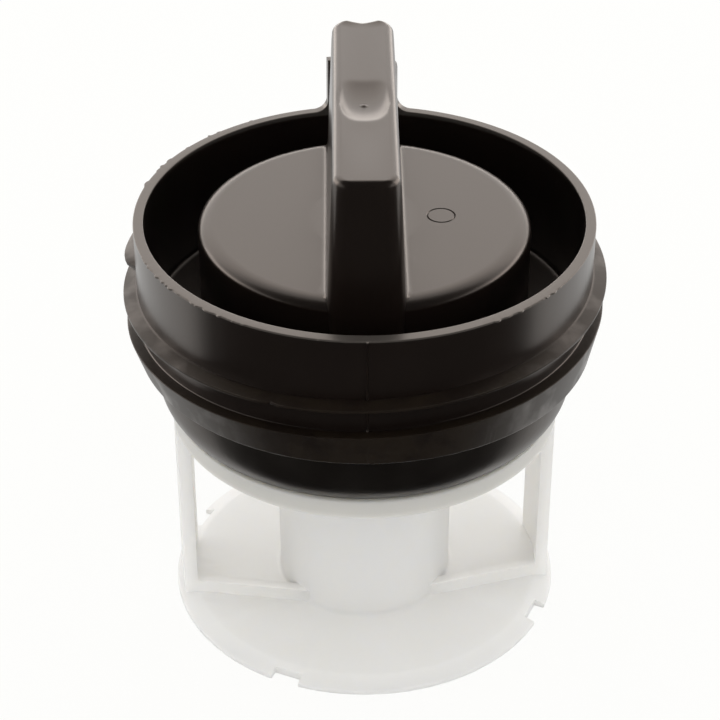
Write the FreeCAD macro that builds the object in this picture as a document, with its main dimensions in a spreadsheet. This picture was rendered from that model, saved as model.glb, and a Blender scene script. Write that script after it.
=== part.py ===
"""Washer pump filter: a screw cap with a bar grip, its rubber seal and a moulded basket.

Millimetres, +Z up. The origin is on the axis, in the plane that the basket stands on.
The grip runs along Y. The cap turns about Z on a stem at the top of the basket.
"""
import FreeCAD, Part
import math
import os
import re

import Sketcher

os.makedirs("parts", exist_ok=True)
doc = FreeCAD.newDocument("washer_pump_filter")

# Driving dimensions, in millimetres and degrees
SIZES = {
    # collar, moat and island of the cap
    "collar_radius": 31.0,
    "collar_wall": 1.4,
    "collar_height": 13.8,
    "rim_bevel": 0.3,
    "moat_width": 7.4,
    "moat_floor": 1.6,
    "island_drop": 2.3,
    "island_round": 1.4,
    "shell_wall": 2.0,
    # grip bar across the island
    "grip_overhang": 0.95,
    "grip_rise": 17.4,
    "grip_top_width": 8.5,
    "grip_root_width": 10.0,
    "grip_dish": 0.45,
    "grip_corner": 1.1,
    "grip_end_round": 0.9,
    "thumb_width": 7.0,
    "thumb_length": 10.6,
    "thumb_depth": 0.9,
    "thumb_ball": 3.5,
    "thumb_offset": 2.0,
    # tongue that stands up from the back of the collar
    "tongue_width": 10.3,
    "tongue_rise": 8.1,
    "tongue_round": 1.9,
    # ejector mark on the island
    "mark_radius": 2.0,
    "mark_groove": 0.3,
    "mark_depth": 0.2,
    "mark_x": 10.3,
    "mark_y": 2.9,
    # coarse right-hand thread, its cone and the neck under it
    "thread_depth": 1.9,
    "thread_pitch": 5.2,
    "thread_turns": 2.0,
    "thread_crest": 0.9,
    "thread_slope": 1.2,
    "thread_sink": 1.7,
    "ledge_width": 1.8,
    "cone_height": 4.3,
    "cone_taper": 0.8,
    "neck_step": 8.8,
    "neck_wall": 2.6,
    "cap_foot_gap": 0.5,
    # rubber seal on the neck
    "seal_height": 10.0,
    "seal_width": 5.7,
    "seal_flare": 2.0,
    "seal_shoulder": 0.5,
    "seal_bulge_share": 0.5,
    "seal_fit": 0.05,
    "seal_gap": 0.3,
    # swivel between cap and basket
    "stem_radius": 6.0,
    "stem_length": 12.0,
    "bead_height": 1.6,
    "bead_rise": 0.5,
    "bead_below_tip": 1.5,
    "boss_wall": 3.0,
    "run_clearance": 0.1,
    "end_clearance": 0.4,
    # basket
    "lid_radius": 27.2,
    "lid_top": 33.4,
    "lid_thickness": 3.3,
    "lid_chamfer": 0.7,
    "base_radius": 27.9,
    "base_height": 1.5,
    "base_edge": 0.7,
    "base_slope": 2.6,
    "column_radius": 12.5,
    "column_wall": 1.8,
    "post_angle": 10.6,
    "post_reach": 25.6,
    "post_width": 1.8,
    "post_wall": 1.5,
    "post_inset": 0.1,
    "web_thickness": 1.6,
    "web_height": 2.0,
    "web_angle": 46.0,
    "notch_width": 4.2,
    "notch_depth": 1.6,
    "notch_angle": 61.8,
    "notch_count": 4,
    "basket_turn": 3.7,
}

sheet = doc.addObject("Spreadsheet::Sheet", "sizes")
for row, (alias, number) in enumerate(SIZES.items(), start=1):
    sheet.set(f"A{row}", alias)
    sheet.set(f"B{row}", str(number))
    sheet.setAlias(f"B{row}", alias)
doc.recompute()


def bound(text):
    """Writes an expression of size names so that it points at the sheet."""
    def point(match):
        word = match.group()
        return f"sizes.{word}" if word in SIZES else word
    return re.sub(r"[a-z_]+", point, text)


def value(text):
    """The number that an expression of size names has now."""
    result = sheet.evalExpression(bound(text))
    return float(getattr(result, "Value", result))


def make_body(name):
    """An empty body whose label names the piece."""
    body = doc.addObject("PartDesign::Body", name)
    body.Label = name
    return body


def plane_of(body, role):
    """One of a body's own origin planes, by its role."""
    return next(f for f in body.Origin.OriginFeatures if f.Role == role)


def make_sketch(body, name, role, lift=None):
    """A sketch on one of the body's origin planes, lifted along its normal by a size."""
    sketch = body.newObject("Sketcher::SketchObject", name)
    sketch.AttachmentSupport = [(plane_of(body, role), "")]
    sketch.MapMode = "FlatFace"
    if lift:
        sketch.setExpression("AttachmentOffset.Base.z", bound(lift))
    return sketch


def place_point(sketch, geometry, end, x_text, y_text):
    """Ties one end of a line to a place given by two expressions."""
    for kind, text, axis in (("DistanceX", x_text, -2), ("DistanceY", y_text, -1)):
        if text == "0":
            sketch.addConstraint(Sketcher.Constraint("PointOnObject", geometry, end, axis))
            continue
        constraint = Sketcher.Constraint(kind, -1, 1, geometry, end, value(text))
        index = sketch.addConstraint(constraint)
        sketch.setExpression(f"Constraints[{index}]", bound(text))


def closed_outline(sketch, points, arcs=None):
    """Draws a closed outline through points; arcs maps an edge to (radius, side of its bulge)."""
    arcs = arcs or {}
    places = [FreeCAD.Vector(value(x), value(y), 0) for x, y in points]
    first = sketch.GeometryCount
    count = len(points)
    starts = []
    for edge in range(count):
        a = places[edge]
        b = places[(edge + 1) % count]
        if edge not in arcs:
            sketch.addGeometry(Part.LineSegment(a, b), False)
            starts.append((1, 2))
            continue
        radius_text, side = arcs[edge]
        radius = value(radius_text)
        chord = b - a
        across = FreeCAD.Vector(chord.y, -chord.x, 0).normalize() * side
        sagitta = radius - math.sqrt(radius ** 2 - (chord.Length / 2) ** 2)
        sketch.addGeometry(Part.Arc(a, a + chord * 0.5 + across * sagitta, b), False)
        starts.append((1, 2) if side > 0 else (2, 1))
        index = sketch.addConstraint(Sketcher.Constraint("Radius", first + edge, radius))
        sketch.setExpression(f"Constraints[{index}]", bound(radius_text))
    for edge in range(count):
        after = (edge + 1) % count
        sketch.addConstraint(Sketcher.Constraint(
            "Coincident", first + edge, starts[edge][1], first + after, starts[after][0]))
    for edge, (x_text, y_text) in enumerate(points):
        place_point(sketch, first + edge, starts[edge][0], x_text, y_text)
    return sketch


def circle(sketch, x_text, y_text, radius_text):
    """Draws a circle whose centre and radius are expressions."""
    centre = FreeCAD.Vector(value(x_text), value(y_text), 0)
    drawn = Part.Circle(centre, FreeCAD.Vector(0, 0, 1), value(radius_text))
    geometry = sketch.addGeometry(drawn, False)
    index = sketch.addConstraint(Sketcher.Constraint("Radius", geometry, value(radius_text)))
    sketch.setExpression(f"Constraints[{index}]", bound(radius_text))
    place_point(sketch, geometry, 3, x_text, y_text)


def revolve(body, name, sketch, kind="Revolution", angle=None):
    """Turns a half section about Z, as added or removed material."""
    feature = body.newObject(f"PartDesign::{kind}", name)
    feature.Profile = sketch
    feature.ReferenceAxis = (sketch, ["V_Axis"])
    feature.Angle = 360.0
    if angle:
        feature.Midplane = True
        feature.setExpression("Angle", bound(angle))
    finish_feature(body, feature)
    return feature


def extrude(body, name, sketch, length, kind="Pad", midplane=False, backwards=False):
    """Pads or pockets a sketch by a size."""
    feature = body.newObject(f"PartDesign::{kind}", name)
    feature.Profile = sketch
    feature.Midplane = midplane
    feature.Reversed = backwards
    feature.setExpression("Length", bound(length))
    finish_feature(body, feature)
    return feature


def finish_feature(body, feature):
    """Makes a feature the tip of its body and works it out."""
    body.Tip = feature
    doc.recompute()
    if not feature.isValid() or feature.Shape.isNull():
        raise RuntimeError(f"{feature.Name} did not build: {feature.State}")


def soften_edges(body, name, base, choose, size, kind="Fillet", measure="Radius"):
    """Rounds or bevels the edges of a feature that a test picks out."""
    names = [f"Edge{i}" for i, edge in enumerate(base.Shape.Edges, start=1) if choose(edge)]
    if not names:
        raise RuntimeError(f"{name} found no edge to soften")
    feature = body.newObject(f"PartDesign::{kind}", name)
    feature.Base = (base, names)
    feature.setExpression(measure, bound(size))
    finish_feature(body, feature)
    return feature


def level_at(edge, height):
    """True for an edge that lies level at a height, to a hundredth of a millimetre."""
    box = edge.BoundBox
    return abs(box.ZMin - height) < 0.01 and abs(box.ZMax - height) < 0.01


# Names for heights and radii that several pieces share
CONE_FOOT = "(lid_top + seal_height)"
LEDGE = f"({CONE_FOOT} + cone_height)"
RIM = f"({LEDGE} + collar_height)"
ISLAND_TOP = f"({RIM} - island_drop)"
MOAT_FLOOR = f"({CONE_FOOT} + moat_floor)"
GRIP_TOP = f"({RIM} + grip_rise)"
RIM_INSIDE = "(collar_radius - collar_wall)"
ISLAND_RADIUS = f"({RIM_INSIDE} - moat_width)"
GRIP_HALF = f"({ISLAND_RADIUS} + grip_overhang)"
CONE_TOP_RADIUS = "(collar_radius + ledge_width)"
CONE_FOOT_RADIUS = f"({CONE_TOP_RADIUS} - cone_taper)"
NECK_RADIUS = f"({CONE_FOOT_RADIUS} - neck_step)"
CAP_FOOT = "(lid_top + cap_foot_gap)"
STEM_TIP = "(lid_top + stem_length)"
BEAD_TOP = f"({STEM_TIP} - bead_below_tip)"
BEAD_FOOT = f"({BEAD_TOP} - bead_height)"
LID_FOOT = "(lid_top - lid_thickness)"


def make_cap():
    """The black cap: collar, moat, island, grip, thread, cone and hollow neck in one moulding."""
    body = make_body("screw_cap")
    section = make_sketch(body, "cap_section", "XZ_Plane")
    bevel = "(island_round * (1 - sin(45)))"
    closed_outline(section, [
        ("0", CAP_FOOT),
        (NECK_RADIUS, CAP_FOOT),
        (NECK_RADIUS, CONE_FOOT),
        (CONE_FOOT_RADIUS, CONE_FOOT),
        (CONE_TOP_RADIUS, LEDGE),
        ("collar_radius", LEDGE),
        ("collar_radius", RIM),
        (RIM_INSIDE, RIM),
        (RIM_INSIDE, MOAT_FLOOR),
        (ISLAND_RADIUS, MOAT_FLOOR),
        (ISLAND_RADIUS, f"{ISLAND_TOP} - island_round"),
        (f"{ISLAND_RADIUS} - {bevel}", f"{ISLAND_TOP} - {bevel}"),
        (f"{ISLAND_RADIUS} - island_round", ISLAND_TOP),
        ("0", ISLAND_TOP),
    ])
    revolve(body, "cap_turned", section)
    add_tongue(body)
    add_grip(body)
    add_thread(body)
    hollow_cap(body)
    return body


def add_grip(body):
    """The bar grip: drafted sides, a dished top, round ends and a thumb hollow."""
    section = make_sketch(body, "grip_section", "XZ_Plane")
    half_top = "(grip_top_width / 2)"
    half_root = "(grip_root_width / 2)"
    dish_radius = "((grip_top_width / 2 - grip_corner) ^ 2 / (2 * grip_dish) + grip_dish / 2)"
    closed_outline(section, [
        (half_root, MOAT_FLOOR),
        (half_root, ISLAND_TOP),
        (half_top, f"{GRIP_TOP} - grip_corner"),
        (f"{half_top} - grip_corner", GRIP_TOP),
        (f"grip_corner - {half_top}", GRIP_TOP),
        (f"-{half_top}", f"{GRIP_TOP} - grip_corner"),
        (f"-{half_root}", ISLAND_TOP),
        (f"-{half_root}", MOAT_FLOOR),
    ], arcs={2: ("grip_corner", 1), 3: (dish_radius, -1), 4: ("grip_corner", 1)})
    extrude(body, "grip_bar", section, f"2 * {GRIP_HALF}", midplane=True)

    ends = make_sketch(body, "grip_end_outline", "YZ_Plane")
    below = f"({GRIP_TOP} - grip_end_round)"
    above = f"({GRIP_TOP} + grip_end_round)"
    for sign, side in (("", 1), ("0 - ", -1)):
        closed_outline(ends, [
            (f"{sign}{GRIP_HALF}", below),
            (f"{sign}({GRIP_HALF} - grip_end_round)", GRIP_TOP),
            (f"{sign}({GRIP_HALF} - grip_end_round)", above),
            (f"{sign}({GRIP_HALF} + grip_end_round)", above),
            (f"{sign}({GRIP_HALF} + grip_end_round)", below),
        ], arcs={0: ("grip_end_round", side)})
    extrude(body, "grip_ends", ends, "grip_root_width", kind="Pocket", midplane=True)

    hollow = body.newObject("PartDesign::SubtractiveEllipsoid", "thumb_hollow")
    spread = "sqrt(1 - (1 - thumb_depth / thumb_ball) ^ 2)"
    hollow.setExpression("Radius1", bound("thumb_ball"))
    hollow.setExpression("Radius2", bound(f"thumb_width / 2 / {spread}"))
    hollow.setExpression("Radius3", bound(f"thumb_length / 2 / {spread}"))
    hollow.AttachmentSupport = [(plane_of(body, "XY_Plane"), "")]
    hollow.MapMode = "FlatFace"
    hollow.setExpression("AttachmentOffset.Base.y", bound("thumb_offset"))
    hollow.setExpression("AttachmentOffset.Base.z", bound(f"{GRIP_TOP} - grip_dish + thumb_ball - thumb_depth"))
    finish_feature(body, hollow)

    mark = make_sketch(body, "mark_rings", "XY_Plane", lift=ISLAND_TOP)
    circle(mark, "mark_x", "mark_y", "mark_radius")
    circle(mark, "mark_x", "mark_y", "mark_radius - mark_groove")
    extrude(body, "ejector_mark", mark, "mark_depth", kind="Pocket")


def add_tongue(body):
    """The tongue that carries the collar's wall up behind the grip, and the bevelled rim."""
    section = make_sketch(body, "tongue_section", "YZ_Plane")
    closed_outline(section, [
        (RIM_INSIDE, f"{RIM} - collar_wall"),
        ("collar_radius", f"{RIM} - collar_wall"),
        ("collar_radius", f"{RIM} + tongue_rise"),
        (RIM_INSIDE, f"{RIM} + tongue_rise"),
    ])
    tongue = revolve(body, "tongue", section, angle="2 * asin(tongue_width / 2 / collar_radius)")
    rim = value(RIM)

    def at_foot(edge):
        return level_at(edge, rim) and edge.Curve.TypeId == "Part::GeomLine"
    foot = soften_edges(body, "tongue_foot", tongue, at_foot, "tongue_round")

    def on_rim(edge):
        return level_at(edge, rim) and edge.Length > value("collar_radius")
    soften_edges(body, "rim_edges", foot, on_rim, "rim_bevel", kind="Chamfer", measure="Size")


def add_thread(body):
    """Two turns of coarse right-hand thread, flat above and sloped below."""
    section = make_sketch(body, "thread_section", "XZ_Plane")
    inside = "(collar_wall / 4 - collar_radius)"
    crest = "(0 - collar_radius - thread_depth)"
    start = f"({LEDGE} - thread_sink)"
    closed_outline(section, [
        (inside, start),
        (crest, start),
        (crest, f"{start} - thread_crest"),
        (inside, f"{start} - thread_crest - thread_slope"),
    ])
    helix = body.newObject("PartDesign::AdditiveHelix", "thread")
    helix.Profile = section
    helix.ReferenceAxis = (section, ["V_Axis"])
    helix.Mode = "pitch-turns-angle"
    helix.setExpression("Pitch", bound("thread_pitch"))
    helix.setExpression("Turns", bound("thread_turns"))
    helix.LeftHanded = False
    helix.Reversed = False
    finish_feature(body, helix)


def hollow_cap(body):
    """Cores out the cap from below, leaving a socket for the basket's stem in the middle."""
    boss = "(stem_radius + run_clearance + boss_wall)"
    bore = "(stem_radius + run_clearance)"
    groove = "(stem_radius + bead_rise + run_clearance)"
    ceiling = f"({ISLAND_TOP} - shell_wall)"
    inside = f"({NECK_RADIUS} - neck_wall)"
    before = body.Shape.Volume
    ring = make_sketch(body, "core_section", "XZ_Plane")
    closed_outline(ring, [
        (boss, f"{CAP_FOOT} - cap_foot_gap"),
        (inside, f"{CAP_FOOT} - cap_foot_gap"),
        (inside, ceiling),
        (boss, ceiling),
    ])
    revolve(body, "core", ring, kind="Groove")
    socket = make_sketch(body, "socket_section", "XZ_Plane")
    closed_outline(socket, [
        ("0", f"{CAP_FOOT} - cap_foot_gap"),
        (bore, f"{CAP_FOOT} - cap_foot_gap"),
        (bore, f"{BEAD_FOOT} - end_clearance"),
        (groove, f"{BEAD_FOOT} - end_clearance"),
        (groove, f"{BEAD_TOP} + end_clearance"),
        (bore, f"{BEAD_TOP} + end_clearance"),
        (bore, f"{STEM_TIP} + end_clearance"),
        ("0", f"{STEM_TIP} + end_clearance"),
    ])
    revolve(body, "socket", socket, kind="Groove")
    if body.Shape.Volume > before * 0.9:
        raise RuntimeError("the cap was not cored out")


def make_seal():
    """The rubber seal: a ring with a bulged flank that fits the neck, under the cone."""
    body = make_body("seal_ring")
    section = make_sketch(body, "seal_section", "XZ_Plane")
    bore = f"({NECK_RADIUS} + seal_fit)"
    foot = "(lid_top + seal_gap)"
    widest = f"({NECK_RADIUS} + seal_width)"
    rise = "((seal_height - seal_gap) * seal_bulge_share)"
    bulge = f"({foot} + {rise})"
    closed_outline(section, [
        (bore, foot),
        (f"{widest} - seal_flare", foot),
        (f"{widest} - seal_flare * (1 - cos(45))", f"{bulge} - {rise} * sin(45)"),
        (widest, bulge),
        (f"{widest} - seal_shoulder", CONE_FOOT),
        (bore, CONE_FOOT),
    ])
    revolve(body, "seal_turned", section)
    return body


def make_basket():
    """The pale basket: base, column, lid and stem, then posts, webs and notches."""
    body = make_body("filter_basket")
    column_bore = "(column_radius - column_wall)"
    section = make_sketch(body, "basket_section", "XZ_Plane")
    closed_outline(section, [
        ("0", LID_FOOT),
        (column_bore, LID_FOOT),
        (column_bore, "0"),
        ("base_radius", "0"),
        ("base_radius", "base_edge"),
        ("base_radius - base_slope", "base_height"),
        ("column_radius", "base_height"),
        ("column_radius", LID_FOOT),
        ("lid_radius - lid_chamfer", LID_FOOT),
        ("lid_radius", f"{LID_FOOT} + lid_chamfer"),
        ("lid_radius", "lid_top"),
        ("stem_radius", "lid_top"),
        ("stem_radius", BEAD_FOOT),
        ("stem_radius + bead_rise", f"{BEAD_FOOT} + bead_rise"),
        ("stem_radius + bead_rise", f"{BEAD_TOP} - bead_rise"),
        ("stem_radius", BEAD_TOP),
        ("stem_radius", STEM_TIP),
        ("0", STEM_TIP),
    ])
    revolve(body, "basket_turned", section)
    add_webs_and_posts(body)
    cut_notches(body)
    body.Placement.Rotation = FreeCAD.Rotation(FreeCAD.Vector(0, 0, 1), SIZES["basket_turn"])
    body.setExpression("Placement.Rotation.Angle", bound("basket_turn"))
    doc.recompute()
    return body


def add_webs_and_posts(body):
    """A low web from the column to each side, and a post with a curved back at its outer end."""
    outside = "(lid_radius - post_inset)"
    inside = "(lid_radius - post_inset - post_wall)"
    corner_x = f"({outside} * cos(post_angle))"
    corner_y = f"(0 - {outside} * sin(post_angle))"
    mid_wall = "(column_radius - column_wall / 2)"
    start_x = f"({mid_wall} * cos(web_angle))"
    start_y = f"(0 - {mid_wall} * sin(web_angle) - web_thickness / 2)"
    slope = f"(({corner_y} - {start_y}) / ({corner_x} - {start_x}))"
    edge_x = f"({corner_x} - post_width)"
    edge_y = f"({corner_y} - post_width * {slope})"
    root = "base_edge / 2"

    web = make_sketch(body, "web_outline", "XY_Plane", lift=root)
    closed_outline(web, [
        (start_x, start_y),
        (edge_x, edge_y),
        (edge_x, f"{edge_y} + web_thickness"),
        (start_x, f"{start_y} + web_thickness"),
    ])
    right_web = extrude(body, "web", web, f"base_height + web_height - {root}")

    post = make_sketch(body, "post_outline", "XY_Plane", lift=root)
    far = "(post_reach - post_angle)"
    joint_angle = f"(post_angle * 1 deg - asin(web_thickness / {inside}))"
    closed_outline(post, [
        (edge_x, edge_y),
        (corner_x, corner_y),
        (f"{outside} * cos({far})", f"{outside} * sin({far})"),
        (f"{inside} * cos({far})", f"{inside} * sin({far})"),
        (f"{inside} * cos({joint_angle})", f"0 - {inside} * sin({joint_angle})"),
        (edge_x, f"{edge_y} + web_thickness"),
    ], arcs={1: (outside, 1), 3: (inside, -1)})
    height = f"{LID_FOOT} + lid_thickness / 2 - {root}"
    right_post = extrude(body, "post", post, height)

    mirrored = body.newObject("PartDesign::Mirrored", "left_web_and_post")
    mirrored.Originals = [right_web, right_post]
    mirrored.MirrorPlane = (plane_of(body, "YZ_Plane"), [""])
    finish_feature(body, mirrored)


def cut_notches(body):
    """Keyway notches spaced round the base."""
    outline = make_sketch(body, "notch_outline", "XY_Plane")
    closed_outline(outline, [
        ("base_radius - notch_depth", "-notch_width / 2"),
        ("base_radius + notch_depth", "-notch_width / 2"),
        ("base_radius + notch_depth", "notch_width / 2"),
        ("base_radius - notch_depth", "notch_width / 2"),
    ])
    outline.setExpression("AttachmentOffset.Rotation.Angle", bound("notch_angle"))
    notch = extrude(body, "notch", outline, "base_height", kind="Pocket", backwards=True)
    pattern = body.newObject("PartDesign::PolarPattern", "notches")
    pattern.Originals = [notch]
    pattern.Axis = (outline, ["N_Axis"])
    pattern.Angle = 360
    pattern.setExpression("Occurrences", bound("notch_count"))
    finish_feature(body, pattern)


PIECES = [make_cap(), make_seal(), make_basket()]
doc.recompute()

for item in doc.Objects:
    if "Invalid" in item.State or "Error" in item.State:
        raise RuntimeError(f"{item.Name} failed: {item.State}")
for piece in PIECES:
    shape = piece.Shape
    if shape.isNull() or not shape.isValid() or len(shape.Solids) != 1:
        raise RuntimeError(f"{piece.Label} is not one good solid")
    shape.exportStep(f"parts/{piece.Label}.step")
    box = shape.optimalBoundingBox()
    print(f"{piece.Label}: {shape.Volume / 1000:.2f} cm3, {box.XLength:.2f} x {box.YLength:.2f} x "
          f"{box.ZLength:.2f} mm, lowest {box.ZMin:.2f}")
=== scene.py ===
# %% [markdown]
# A washer pump filter in one small Blender scene: a black screw cap with a bar grip, a rubber seal and a
# milky basket. The imported solids give the frame that everything stands in, so loading them comes first.

# %% Load the imported frame
import bmesh
import bpy
import math
import random
from mathutils import Matrix, Vector


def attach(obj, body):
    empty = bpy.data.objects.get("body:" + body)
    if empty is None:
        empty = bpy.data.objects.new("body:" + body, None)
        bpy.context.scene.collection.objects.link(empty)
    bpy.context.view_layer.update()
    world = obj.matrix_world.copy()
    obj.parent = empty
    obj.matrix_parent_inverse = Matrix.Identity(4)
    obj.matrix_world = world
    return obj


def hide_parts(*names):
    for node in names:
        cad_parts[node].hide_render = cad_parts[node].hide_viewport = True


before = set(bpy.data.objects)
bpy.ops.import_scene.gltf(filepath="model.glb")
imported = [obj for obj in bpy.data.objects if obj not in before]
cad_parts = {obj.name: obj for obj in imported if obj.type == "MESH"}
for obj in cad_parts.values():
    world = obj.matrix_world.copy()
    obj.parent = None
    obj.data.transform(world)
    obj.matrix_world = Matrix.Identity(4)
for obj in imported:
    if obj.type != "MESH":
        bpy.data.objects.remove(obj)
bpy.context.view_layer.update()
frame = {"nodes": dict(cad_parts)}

MM = 0.001
print("solids:", ", ".join(frame["nodes"]))

# %% [markdown]
# The solids are exact but have coarse facets, and a black glossy cap shows every facet. So each piece is
# turned again here as a fine mesh of the same form. These are its measures, in millimetres. A few, such
# as the island's top and the band's foot, were read again from the photograph after the solids were
# packed.

# %% Measures of the filter, in millimetres
COLLAR_RADIUS = 31.0
COLLAR_WALL = 1.4
RIM = 61.5
RIM_DIP = 0.35
MOAT_FLOOR = 45.0
ISLAND_RADIUS = 22.4
ISLAND_TOP = 60.7
ISLAND_DROP = 1.3
ISLAND_ROUND = 2.3
SHELL_WALL = 2.0
BAND_TOP = (32.65, 46.4)
BAND_FOOT = (31.25, 42.5)
THREAD_PITCH = 4.85
NECK_RADIUS = 23.2
NECK_WALL = 2.6
LID_TOP = 33.4
CAP_FOOT = LID_TOP + 0.5
STEM_RADIUS = 6.0
STEM_TIP = LID_TOP + 12.0
BEAD_TOP = STEM_TIP - 1.5
BEAD_FOOT = BEAD_TOP - 1.6
BEAD_RISE = 0.5
RUN_GAP = 0.1
END_GAP = 0.4
BOSS_RADIUS = STEM_RADIUS + RUN_GAP + 3.0
FRONT = math.radians(270.0)
BACK = math.radians(90.0)
NEAR = 0.01
print("collar:", 2 * COLLAR_RADIUS, "mm across, with its rim", RIM, "mm over the foot")

# %% [markdown]
# Most of this part was turned or moulded round one axis, so the main tool is a lathe: an outline of
# radius and height, copied round Z. Moulded corners are never sharp, so a helper swaps each corner for a
# small arc.

# %% Outline and lathe helpers
CORNER_SHARE = 0.45
MERGE_DISTANCE = 1e-7
FINE_COLUMNS = 240


def rounded(points, steps=5):
    """A closed outline from (radius, height, corner round), with each corner drawn as an arc."""
    outline = []
    count = len(points)
    for i, (x, z, size) in enumerate(points):
        corner = Vector((x, z))
        before = Vector(points[i - 1][:2]) - corner
        after = Vector(points[(i + 1) % count][:2]) - corner
        if size <= 0 or x == 0:
            outline.append((x, z))
            continue
        reach = min(size, before.length * CORNER_SHARE, after.length * CORNER_SHARE)
        first = corner + before.normalized() * reach
        last = corner + after.normalized() * reach
        for step in range(steps + 1):
            u = step / steps
            place = first * (1 - u) ** 2 + corner * 2 * u * (1 - u) + last * u ** 2
            outline.append((place.x, place.y))
    return outline


def mesh_object(name, points, faces):
    """A mesh object from points in millimetres, with its faces turned outwards."""
    mesh = bpy.data.meshes.new(name)
    mesh.from_pydata([tuple(c * MM for c in p) for p in points], [], faces)
    work = bmesh.new()
    work.from_mesh(mesh)
    bmesh.ops.remove_doubles(work, verts=work.verts, dist=MERGE_DISTANCE)
    bmesh.ops.recalc_face_normals(work, faces=work.faces)
    work.to_mesh(mesh)
    work.free()
    thing = bpy.data.objects.new(name, mesh)
    bpy.context.collection.objects.link(thing)
    return thing


def lathe(name, outline, angles, shift=None):
    """Turns a closed outline round Z; shift(r, z, angle) may move a point to a new (r, z)."""
    points = []
    faces = []
    rows = len(outline)
    columns = len(angles)
    for angle in angles:
        for r, z in outline:
            if shift and r > 0:
                r, z = shift(r, z, angle)
            points.append((r * math.cos(angle), r * math.sin(angle), z))
    for c in range(columns):
        d = (c + 1) % columns
        for k in range(rows):
            n = (k + 1) % rows
            if outline[k][0] == 0 and outline[n][0] == 0:
                continue
            faces.append((c * rows + k, d * rows + k, d * rows + n, c * rows + n))
    return mesh_object(name, points, faces)


def even_angles(count):
    """Angles spaced evenly round the axis."""
    return [2 * math.pi * i / count for i in range(count)]


square = [(1, 0, 0.2), (2, 0, 0.2), (2, 1, 0.2), (1, 1, 0.2)]
print("a square with round corners has", len(rounded(square)), "points")

# %% [markdown]
# What is moulded in one piece becomes one mesh, so parts of it are joined with Booleans, and notches are
# cut the same way. The result is kept at once as a plain mesh. Shading is smooth, with creases at the
# real edges.

# %% Joining, cutting and shading helpers
CREASE_ANGLE = 32.0


def cut_or_join(base, others, operation):
    """Joins other closed meshes to a base, or cuts them from it, and removes them."""
    for other in others:
        change = base.modifiers.new(other.name, "BOOLEAN")
        change.operation = operation
        change.solver = "EXACT"
        change.object = other
    graph = bpy.context.evaluated_depsgraph_get()
    result = bpy.data.meshes.new_from_object(base.evaluated_get(graph))
    base.modifiers.clear()
    base.data = result
    for other in others:
        bpy.data.objects.remove(other)
    return base


def smooth(thing, sharp_over=CREASE_ANGLE):
    """Shades a mesh smooth, with creases where faces meet at more than an angle in degrees."""
    thing.data.shade_smooth()
    thing.data.set_sharp_from_angle(angle=math.radians(sharp_over))
    print(thing.name, "has", len(thing.data.polygons), "faces")
    return thing


print("creases start at", CREASE_ANGLE, "degrees")

# %% [markdown]
# The collar's rim carries the marks of its mould. A parting line runs down the front and the back, a
# tongue stands up behind the grip, and thin flash makes the rim ragged in places. Under the rim, the
# band's upper edge climbs with the thread. All of these are small shifts of the lathe's points, so the
# shell stays one closed skin.

# %% Shifts of the collar
TONGUE_HALF = 5.15
TONGUE_RISE = 8.1
TONGUE_FOOT = 1.9
TONGUE_CORNER = 1.6
SEAM_HALF = 0.17
SEAM_RISE = 0.26
FLASH_REACH = 0.42
FLASH_LIP = 0.12
FLASH_DEPTH = 0.35
FLASH_WIDTHS = (0.15, 0.6)
FLASH_HEIGHTS = (0.04, 0.26)
FLASH_FADE = 0.12
FLASH_POWER = 0.7
EDGE_REACH = 0.5
FLASH_SPANS = ((200, 246, 34), (298, 326, 16), (255, 262, 3), (120, 165, 9))
flash_draw = random.Random(7)


def flash_bumps():
    """Places, widths and heights of the flash on the rim, drawn in a few spans of degrees."""
    bumps = []
    for first, last, count in FLASH_SPANS:
        for i in range(count):
            angle = math.radians(flash_draw.uniform(first, last))
            bumps.append((angle, flash_draw.uniform(*FLASH_WIDTHS), flash_draw.uniform(*FLASH_HEIGHTS)))
    return bumps


FLASH = flash_bumps()


def arc_gap(angle, centre):
    """Signed angle from a centre, between minus pi and pi."""
    return (angle - centre + math.pi) % (2 * math.pi) - math.pi


def round_fall(distance, size):
    """How far a round corner has fallen at a distance past where it starts."""
    past = min(max(distance, 0.0), size)
    return size - math.sqrt(size ** 2 - past ** 2)


def tongue_lift(angle):
    """How far the rim stands up at an angle: the tongue, with a hollow fillet at each foot."""
    across = arc_gap(angle, BACK) * COLLAR_RADIUS
    side = abs(across) - TONGUE_HALF
    if side <= 0:
        past_corner = TONGUE_CORNER + side if across < 0 else 0.0
        return TONGUE_RISE - round_fall(past_corner, TONGUE_CORNER)
    if side >= TONGUE_FOOT:
        return 0.0
    return round_fall(TONGUE_FOOT - side, TONGUE_FOOT)


def flash_lift(angle):
    """Thin flash on the rim: a narrow lip round the front, and bumps of their own width and height."""
    lift = FLASH_LIP * max(-math.sin(angle), 0.0)
    for centre, width, height in FLASH:
        away = arc_gap(angle, centre) * COLLAR_RADIUS / width
        if abs(away) < 1:
            lift = max(lift, FLASH_LIP / 2 + height * (1 - away ** 2) ** FLASH_POWER)
    return lift


def band_lift(angle):
    """How far the band's top edge has risen: with the thread round the front, and down again behind."""
    turn = (angle - math.pi) / (2 * math.pi) % 1.0
    return THREAD_PITCH * min(turn, 1.0 - turn)


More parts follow.
